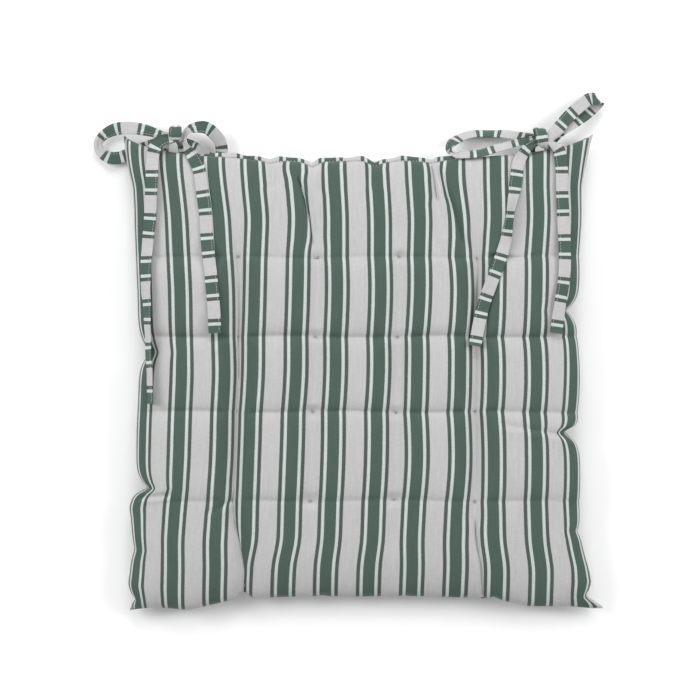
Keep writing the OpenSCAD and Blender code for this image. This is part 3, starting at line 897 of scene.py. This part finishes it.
# Each row of a route is a point (x, y, z) in millimetres, the direction of the width as a compass angle
# and an angle above the seat, and the width as a share of the full one. They are the CAD's own routes.
ROUTES = {
    "tie_left_outer": [
        [-169, 189, 18, 180, 0, 1], [-169, 198, 18, 180, 0, 1], [-166, 205, 20, 150, 0, 0.8],
        [-160, 208, 22, 105, 0, 0.6], [-154, 209, 21.5, 90, 0, 0.6], [-152, 209, 19, 90, 0, 0.6],
        [-154, 209, 16.5, 90, 0, 0.6], [-160, 208, 15.5, 90, 0, 0.7], [-169, 206, 12, 100, -10, 0.9],
        [-181, 202, 8, 103, -12, 1], [-195, 197, 6, 105, -12, 1], [-206, 192.5, 5, 100, -12, 1],
        [-215, 191.5, 5, 78, -12, 1], [-223, 196, 6, 45, -15, 0.8], [-226, 204, 7, -5, -15, 0.7],
        [-221, 211, 9, -45, -10, 0.8], [-211, 216, 13, -72, -5, 1], [-198, 217, 17, -90, 0, 1],
        [-184, 215, 20, -92, 10, 0.9], [-171, 211, 23, -90, 20, 0.7], [-161, 209, 25, -90, 12, 0.6],
        [-154, 209, 25.5, -90, 0, 0.6], [-152, 209, 27, -90, 0, 0.6], [-154, 208, 28.5, -90, 0, 0.6],
        [-161, 207, 29, -85, 0, 0.7], [-169, 205, 29, -70, 0, 0.9], [-174, 200, 31, -45, 0, 1],
        [-176.5, 191, 33, -15, 5, 1], [-177, 174, 37, 0, 10, 1], [-178.5, 140, 39, 0, 16, 1],
        [-181, 110, 38.5, 0, 26, 1], [-182, 82, 39.5, 0, 38, 1], [-181, 60, 40, 0, 50, 1],
        [-180, 40, 40.5, 0, 60, 1], [-179, 10, 40.5, 0, 62, 1], [-178, -23, 40, 0, 62, 1]],
    "tie_left_inner": [
        [-150, 189, 18, 180, 0, 1], [-150, 198, 17.5, 180, 0, 1], [-153, 205, 13.5, 170, 0, 0.8],
        [-157, 212, 13, 180, 0, 0.8], [-157, 217, 17, 180, 0, 0.85], [-157, 218, 23, 180, 0, 0.85],
        [-157, 217, 28, 180, 0, 0.9], [-157, 214, 31, 180, 0, 1], [-157, 210, 32, 180, 0, 1],
        [-157, 206, 30, 180, 0, 0.9], [-156, 205, 26.5, 180, 0, 0.6], [-153, 205, 23.5, 140, 0, 0.5],
        [-148, 204, 21.5, 90, 0, 0.6], [-141, 200, 17, 65, -15, 0.9], [-135, 195.5, 12, 62, -15, 1],
        [-129, 191.5, 7, 75, -15, 1], [-122, 190.5, 6, 110, -10, 1], [-118, 196, 7, 160, -10, 1],
        [-119, 205, 9, 200, -10, 1], [-124, 212, 12, 228, -5, 1], [-131, 217, 16, 252, 5, 1],
        [-139, 217, 20, 272, 15, 0.9], [-146, 214, 24, 290, 30, 0.7], [-149, 208, 27, 320, 45, 0.5],
        [-148, 202, 28, 345, 40, 0.5], [-145, 196, 29, 370, 20, 0.8], [-140, 188, 32.5, 380, 0, 1],
        [-136, 178, 36, 375, 0, 1], [-134, 165, 39, 370, 0, 1], [-131, 145, 41, 368, 0, 1],
        [-129, 117, 41, 365, 0, 1], [-125, 82, 43, 365, 0, 1], [-123, 58, 43.5, 365, 0, 1],
        [-122, 38, 43, 360, 0, 1]],
    "tie_right_inner": [
        [150, 189, 18, 180, 0, 1], [150, 198, 18, 180, 0, 1], [153, 204, 20, 150, 0, 0.8],
        [159, 206, 22, 105, 0, 0.6], [164, 207, 21.5, 90, 0, 0.6], [166, 207, 19, 90, 0, 0.6],
        [164, 207, 16.5, 90, 0, 0.6], [158, 207, 15.5, 90, 0, 0.7], [147, 209, 14, 100, -25, 0.9],
        [135, 212, 10.5, 115, -45, 1], [121, 213, 7, 120, -50, 1], [106, 213, 6, 120, -50, 1],
        [93, 210, 8, 120, -50, 1], [84, 205, 13, 120, -50, 1], [82, 198, 18, 120, -50, 1],
        [87, 193, 22, 120, -50, 1], [97, 193, 24, 120, -50, 1], [110, 195, 25, 120, -50, 1],
        [124, 199, 25, 115, -50, 1], [137, 202, 25.5, 105, -45, 0.8], [149, 205, 25.5, 95, -20, 0.6],
        [158, 207, 25, 90, 0, 0.5], [164, 207, 25.5, 90, 0, 0.5], [166, 207, 27, 90, 0, 0.5],
        [164, 206, 28.5, 90, 0, 0.5], [157, 204, 29, 105, 0, 0.6], [150, 200, 29, 125, 0, 0.7],
        [144, 193, 31, 140, 0, 0.9], [140, 184, 34, 155, 0, 1], [138, 170, 38, 170, 0, 1],
        [135, 154, 41, 175, -40, 1], [132, 138, 42.5, 180, -55, 1], [129, 120, 42, 185, -30, 1],
        [123, 99, 40, 190, 0, 1], [115, 78, 42, 195, 0, 1], [108, 57, 43, 190, 0, 1],
        [102, 27, 43, 185, 0, 1]],
    "tie_right_outer": [
        [169, 189, 18, 180, 0, 1], [169, 198, 17.5, 180, 0, 1], [165, 204, 13.5, 170, 0, 0.8],
        [161, 210, 13, 175, 0, 0.85], [159, 215, 17, 175, 0, 0.95], [159, 216, 23, 175, 0, 0.95],
        [159, 214, 29, 175, 0, 0.95], [160, 210, 31.5, 175, 0, 0.95], [161, 204, 32, 175, 0, 0.95],
        [162, 200, 29.5, 175, 0, 0.8], [163, 199, 26, 170, 0, 0.6], [165, 200, 23.5, 150, 0, 0.6],
        [169, 205, 22, 130, 0, 0.8], [176, 212.5, 19, 130, -10, 0.9], [188, 221, 14, 130, -20, 1],
        [198, 227.5, 9, 130, -20, 1], [205, 233.5, 5.5, 132, -12, 1], [210, 238.5, 4.5, 136, -5, 1],
        [212, 241.5, 7, 140, 0, 1], [209.5, 243, 9.5, 138, 0, 1], [204, 243, 10.5, 134, 0, 1],
        [198, 239, 11.5, 130, 0, 1], [191, 233, 14, 130, 0, 1], [183, 225, 18, 130, 0, 1],
        [175, 215.5, 22.5, 130, 0, 1], [170, 210, 26.5, 132, 10, 0.9], [168, 205, 29, 155, 20, 0.6],
        [171, 201.5, 30, 175, 10, 0.7], [175.5, 196, 31, 180, 0, 1], [177.5, 183, 33.5, 180, 8, 1],
        [178, 160, 37, 180, 10, 1], [179, 135, 38.5, 180, 12, 1], [180, 105, 39, 180, 12, 1],
        [179, 82, 39, 180, 20, 1], [176, 65, 40, 180, 20, 1], [172, 38, 41, 180, 8, 1]],
}
# Height along the pad of the middle of one wide green stripe on each tail
STRIPE_AT = {"tie_left_outer": 0.1309, "tie_left_inner": 0.1136,
             "tie_right_inner": 0.1326, "tie_right_outer": 0.1127}
# Extra cloth taken up out of sight in the knot: route rows, and how far the stripes are ahead there
STRIPE_SLIP = {
    "tie_left_outer": ([0, 6, 9, 20, 26, 99], [0, 0, 13, 13, 0, 0]),
    "tie_left_inner": ([0, 3, 5, 9, 11, 13, 22, 26, 99], [0, 0, -10, -10, 0, 7, 7, 0, 0]),
    "tie_right_inner": ([0, 99], [0, 0]),
    "tie_right_outer": ([0, 3, 5, 9, 11, 16, 20, 24, 26.5, 99], [0, 0, -10, -10, -4, -4, 11, 11, 0, 0]),
}
SMOOTH_STEPS = 5
# A tie's tail is what comes after this share of its rows
TAIL_FROM = 0.6


def eased(a, b, c, d, share):
    """A place between b and c on the smooth curve through all four."""
    return 0.5 * (2 * b + (c - a) * share + (2 * a - 5 * b + 4 * c - d) * share ** 2
                  + (3 * b - a - 3 * c + d) * share ** 3)


def smooth_route(rows):
    """A route in metres, with SMOOTH_STEPS rows for each of the table's."""
    rows = np.array(rows, float)
    rows[:, :3] *= 0.001
    last = len(rows) - 1
    made = []
    for i in range(last):
        four = rows[max(i - 1, 0)], rows[i], rows[i + 1], rows[min(i + 2, last)]
        for k in range(SMOOTH_STEPS):
            made.append(eased(*four, k / SMOOTH_STEPS))
    made.append(rows[last])
    return np.array(made)


class Surface:
    """Height of the upper cover over the plan, for what lies on it."""

    def __init__(self, top):
        dense = finer(finer(top)).reshape(-1, 3)
        self.cell = 0.0015
        self.low = dense[:, :2].min(0) - 0.006
        size = ((dense[:, :2].max(0) + 0.006 - self.low) / self.cell).astype(int) + 2
        self.height = np.full(tuple(size), -1.0)
        spots = ((dense[:, :2] - self.low) / self.cell).round().astype(int)
        np.maximum.at(self.height, (spots[:, 0], spots[:, 1]), dense[:, 2])
        known = self.height.copy()
        for dx in (-1, 0, 1):
            for dy in (-1, 0, 1):
                known = np.maximum(known, np.roll(self.height, (dx, dy), (0, 1)))
        self.height = known

    def at(self, x, y):
        spots = []
        for k, value in enumerate((x, y)):
            spot = ((np.asarray(value) - self.low[k]) / self.cell).round().astype(int)
            spots.append(np.clip(spot, 0, self.height.shape[k] - 1))
        return self.height[tuple(spots)]


CAD_TUFT_LINES = (-0.105, -0.035, 0.035, 0.105)
CAD_TUFT_REACH = 0.016


def cad_top_height(x, y):
    """Height of the CAD's upper cover, which the routes were drawn over."""
    s = np.clip(x, -PAD_HALF, PAD_HALF)
    t = np.clip(y, -PAD_HALF, PAD_HALF)
    rim = SEAM_H + 0.0016
    crown = falling(s / PAD_HALF) * falling(t / PAD_HALF)
    best = np.zeros_like(s)
    for p in CAD_TUFT_LINES:
        for q in CAD_TUFT_LINES:
            away = (s - p) ** 2 + (t - q) ** 2
            best = np.maximum(best, np.exp(-away / CAD_TUFT_REACH ** 2))
    return rim + (CROWN_H - rim) * crown - (CROWN_H - TUFT_TOP_H) * best


# The tie's section: places across it, as shares of its half width, and the thickness at each
ACROSS = np.array([-1.0, -0.97, -0.85, -0.68, -0.45, -0.15, 0.15, 0.45, 0.68, 0.85, 0.97, 1.0])
THICKNESS = np.array([0.35, 0.8, 1.0, 0.72, 1.0, 0.95, 0.95, 1.0, 0.72, 1.0, 0.8, 0.35])


def tie_surfaces(rows, surface):
    """Centre points, lower and upper side of a tie, laid over the pad where it passes above it."""
    x, y, z = rows[:, 0], rows[:, 1], rows[:, 2]
    over = surface.at(x, y)
    on_pad = (over > 0) & (y < 0.192) & (z > 0.030)
    shift = np.where(on_pad, over - cad_top_height(x, y), 0.0)
    kernel = np.hanning(13)
    kernel /= kernel.sum()
    shift = np.convolve(np.pad(shift, 6, mode="edge"), kernel, mode="valid")
    centre = np.stack([x, y, z + shift], -1)
    along = unit(np.gradient(centre, axis=0))
    az, el = np.radians(rows[:, 3]), np.radians(rows[:, 4])
    way = np.stack([np.cos(az) * np.cos(el), np.sin(az) * np.cos(el), np.sin(el)], -1)
    way = unit(way - (way * along).sum(-1, keepdims=True) * along)
    normal = np.cross(along, way)
    share = np.clip(rows[:, 5], 0.4, 1.0)
    folds = 2.0
    pleat = TIE_W / 2 * share * 2 / (folds * math.pi) * np.sqrt(1 / share - 1) * 0.8
    length = path_lengths(centre)
    wave = 0.00035 * np.sin(length * 95 + 1.3) + 0.00025 * np.sin(length * 233)
    offsets = (ACROSS[None, :] * (share * TIE_W / 2)[:, None])[..., None] * way[:, None, :]
    lift = pleat[:, None] * np.cos(folds * math.pi * ACROSS)[None, :]
    lift = lift + wave[:, None] * (ACROSS ** 2)[None, :] + 0.0003 * (ACROSS ** 2)[None, :]
    middle = centre[:, None, :] + offsets + lift[..., None] * normal[:, None, :]
    half = TIE_T / 2 * THICKNESS[None, :, None] * normal[:, None, :]
    upper, lower = middle + half, middle - half
    need = surface.at(middle[..., 0], middle[..., 1]) + 0.0003 + TIE_T / 2
    short = np.where((rows[:, 2] > 0.024)[:, None], np.clip(need - middle[..., 2], 0, 0.02), 0.0)
    kernel = np.hanning(9)[1:-1] / 4
    eased_short = [np.convolve(np.pad(line, 3, mode="edge"), kernel, mode="valid") for line in short.T]
    short = np.maximum(short, np.stack(eased_short, -1))
    upper[..., 2] += short
    lower[..., 2] += short
    return (upper + lower)[:, 5:7].mean(1) / 2, lower, upper, length


def add_topstitch(name, upper, lower, thread):
    """A row of stitches along one edge of a tie, on both of its sides."""
    stitching = Threads()
    column = 8
    pitch = 0.0026
    reach = 0.0019
    for side, away in ((upper, upper - lower), (lower, lower - upper)):
        line = side[:, column] + 0.00004 * unit(away[:, column])
        lengths = path_lengths(line)
        for start in np.arange(0.003, lengths[-1] - 0.004, pitch):
            where = np.linspace(start, start + reach, 4)
            stitch = np.stack([np.interp(where, lengths, line[:, k]) for k in range(3)], -1)
            stitching.add(stitch, 0.00016, sides=5)
    return stitching.finish(name + "_topstitch", thread)


def make_tie(name, surface, material, thread):
    """A flat tie of cloth along its route, with its topstitching."""
    rows = smooth_route(ROUTES[name])
    centre, lower, upper, length = tie_surfaces(rows, surface)
    count, width = upper.shape[:2]
    ring = 2 * width
    points = np.concatenate([upper, lower[:, ::-1]], axis=1).reshape(-1, 3)
    faces = []
    for i in range(count - 1):
        for k in range(ring):
            a = i * ring + k
            b = i * ring + (k + 1) % ring
            faces.append((a, a + ring, b + ring, b))
    for i, flip in ((0, True), (count - 1, False)):
        for k in range(width - 1):
            quad = (i * ring + k, i * ring + k + 1, i * ring + ring - 2 - k, i * ring + ring - 1 - k)
            faces.append(quad[::-1] if flip else quad)
    obj = new_object(name + "_ribbon", points, faces)
    tail = np.arange(count) > count * TAIL_FROM
    mark = np.interp(-STRIPE_AT[name], -centre[tail, 1], length[tail])
    slip_rows, slips = STRIPE_SLIP[name]
    slip = 0.001 * np.interp(np.arange(count) / SMOOTH_STEPS, slip_rows, slips)
    along = length - mark + STRIPE_PERIOD / 2 + slip
    across = np.concatenate([ACROSS, ACROSS[::-1] + 0.4]) * TIE_W / 2
    coords = np.stack(np.broadcast_arrays(along[:, None], across[None, :]), -1).reshape(-1, 2)
    add_cloth_map(obj, coords)
    obj.data.materials.append(material)
    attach(obj, "root")
    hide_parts(name)
    stitched = add_topstitch(name, upper, lower, thread)


def make_tacks(name, material):
    """Short rows of stitches that hold a pair of ties where they leave the seam."""
    low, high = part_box(name)
    count = 8
    gap_middle = 0.1595
    gap_half = 0.0045
    stitches = Threads()
    for row in (low[1] + 0.0004, high[1] - 0.0004):
        for k in range(count):
            x = low[0] + (high[0] - low[0]) * (k + 0.5) / count
            if abs(abs(x) - gap_middle) > gap_half:
                z = high[2] - 0.0002
                stitches.add(arc((x - 0.001, row, z), (x + 0.001, row, z), (0, 0, 0.0003)), 0.00025)
    stitches.finish(name + "_stitches", material, [name])


# ---- build

make_camera()
make_world(WORLD_STRENGTH)
for soft_box in SOFT_BOXES:
    make_light(*soft_box)
make_floor()
cloth = striped_cloth("cover_cloth")
tie_cloth = striped_cloth("tie_cloth")
tuft_thread = thread_material("tuft_thread", srgb(150, 154, 150))
pale_thread = thread_material("sewing_thread", srgb(196, 200, 196))

u, v, top, low = fill_pad()
low = roll_back_edge(u, low)
low[..., 2] = np.maximum(low[..., 2], LOW_FLOOR)
coords = finer(np.stack([u, v], -1))
fine_top = add_creases(coords[..., 0], coords[..., 1], finer(top))
fine_low = finer(low)
fine_low[..., 2] = np.maximum(fine_low[..., 2], LOW_FLOOR)
top = fine_top[::2, ::2]
covers = (("cover_top", fine_top, False, "top_cover"), ("cover_bottom", fine_low, True, "bottom_cover"))
for name, grid, flip, node in covers:
    piece = make_cover(name, grid, coords + (LOW_OFFSET * flip, 0.0), flip)
    piece.data.materials.append(cloth)
    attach(piece, "root")
    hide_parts(node)
make_filling(top, low, fibre_material())
surface = Surface(top)
for name in ROUTES:
    make_tie(name, surface, tie_cloth, pale_thread)
for name in ("tie_tack_left", "tie_tack_right"):
    make_tacks(name, pale_thread)
make_seams(top, pale_thread)
chance = np.random.default_rng(7)
for row in range(1, 5):
    for column in range(1, 5):
        i, j = TUFT_INDEX[column - 1], TUFT_INDEX[row - 1]
        make_tuft(row, column, top[i, j], low[i, j], tuft_thread, chance)
bpy.context.scene.view_settings.view_transform = "Standard"
